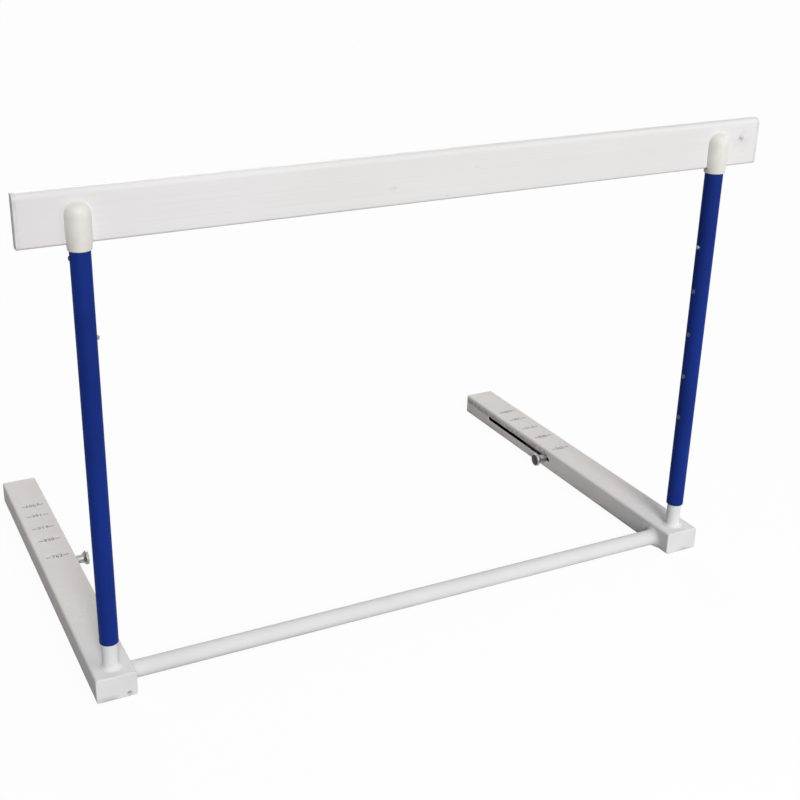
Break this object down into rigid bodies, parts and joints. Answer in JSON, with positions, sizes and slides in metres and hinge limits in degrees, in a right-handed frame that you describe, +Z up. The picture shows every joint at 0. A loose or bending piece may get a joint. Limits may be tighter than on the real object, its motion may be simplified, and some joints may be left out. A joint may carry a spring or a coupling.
{
  "type": "track hurdle",
  "caption": "Adjustable track hurdle: a flat crossbar on telescoping posts with snap buttons, on two leg tubes with sliding counterweights and clamp knobs.",
  "frame": {"origin": "middle of the rectangle the two legs stand on, on the ground", "axes": "+X along the crossbar to the right, +Y back along the legs away from the posts, +Z up"},
  "size_m": [1.2, 0.687, 0.762],
  "materials": {
    "board": "satin white PVC board",
    "plug": "moulded white plug",
    "cap": "cream moulded plastic",
    "blue_paint": "satin blue powder coat",
    "white_paint": "white powder coat",
    "nylon": "natural nylon",
    "zinc": "zinc plated steel",
    "dark_steel": "blackened steel",
    "spring_steel": "spring steel strip",
    "iron": "plain iron block"
  },
  "bodies": {
    "base": {"left_leg_tube": "white_paint", "left_leg_front_plate": "white_paint", "left_leg_rear_plate": "white_paint", "left_inner_tube": "white_paint", "left_glide_plug": "nylon", "left_snap_spring": "spring_steel", "right_leg_tube": "white_paint", "right_leg_front_plate": "white_paint", "right_leg_rear_plate": "white_paint", "right_inner_tube": "white_paint", "right_glide_plug": "nylon", "right_snap_spring": "spring_steel", "cross_tube": "white_paint"},
    "lift": {"crossbar": "board", "left_bar_plug": "plug", "right_bar_plug": "plug", "left_cap": "cap", "left_cap_screw": "dark_steel", "left_lower_washer": "zinc", "left_upper_washer": "zinc", "left_lower_bar_screw": "zinc", "left_upper_bar_screw": "zinc", "right_cap": "cap", "right_cap_screw": "dark_steel", "right_lower_washer": "zinc", "right_upper_washer": "zinc", "right_lower_bar_screw": "zinc", "right_upper_bar_screw": "zinc", "left_outer_tube": "blue_paint", "left_guide_bush": "nylon", "right_outer_tube": "blue_paint", "right_guide_bush": "nylon"},
    "left_button": {"left_snap_button": "zinc"},
    "right_button": {"right_snap_button": "zinc"},
    "left_weight": {"left_counterweight": "iron"},
    "right_weight": {"right_counterweight": "iron"},
    "left_knob": {"left_clamp_knob": "zinc"},
    "right_knob": {"right_clamp_knob": "zinc"}
  },
  "joints": [
    {"name": "bar_height", "type": "slide", "parent": "base", "child": "lift", "axis": [0, 0, 1], "range_m": [0, 0.3048], "deforming": ["left_snap_button", "right_snap_button"]},
    {"name": "left_button_press", "type": "slide", "parent": "base", "child": "left_button", "axis": [-1, 0, 0], "range_m": [0, 0.0052], "stiffness_N_per_m": 1200, "springref_m": -0.002, "deforming": ["left_snap_spring"]},
    {"name": "right_button_press", "type": "slide", "parent": "base", "child": "right_button", "axis": [1, 0, 0], "range_m": [0, 0.0052], "stiffness_N_per_m": 1200, "springref_m": -0.002, "deforming": ["right_snap_spring"]},
    {"name": "left_weight_slide", "type": "slide", "parent": "base", "child": "left_weight", "axis": [0, 1, 0], "range_m": [-0.01, 0.212]},
    {"name": "right_weight_slide", "type": "slide", "parent": "base", "child": "right_weight", "axis": [0, 1, 0], "range_m": [-0.01, 0.212]},
    {"name": "left_knob_turn", "type": "hinge", "parent": "left_weight", "child": "left_knob", "pos_m": [-0.48725, 0.0375, 0.021], "axis": [1, 0, 0], "range_deg": [0, 360]},
    {"name": "right_knob_turn", "type": "hinge", "parent": "right_weight", "child": "right_knob", "pos_m": [0.48725, 0.0375, 0.021], "axis": [-1, 0, 0], "range_deg": [0, 360]}
  ]
}
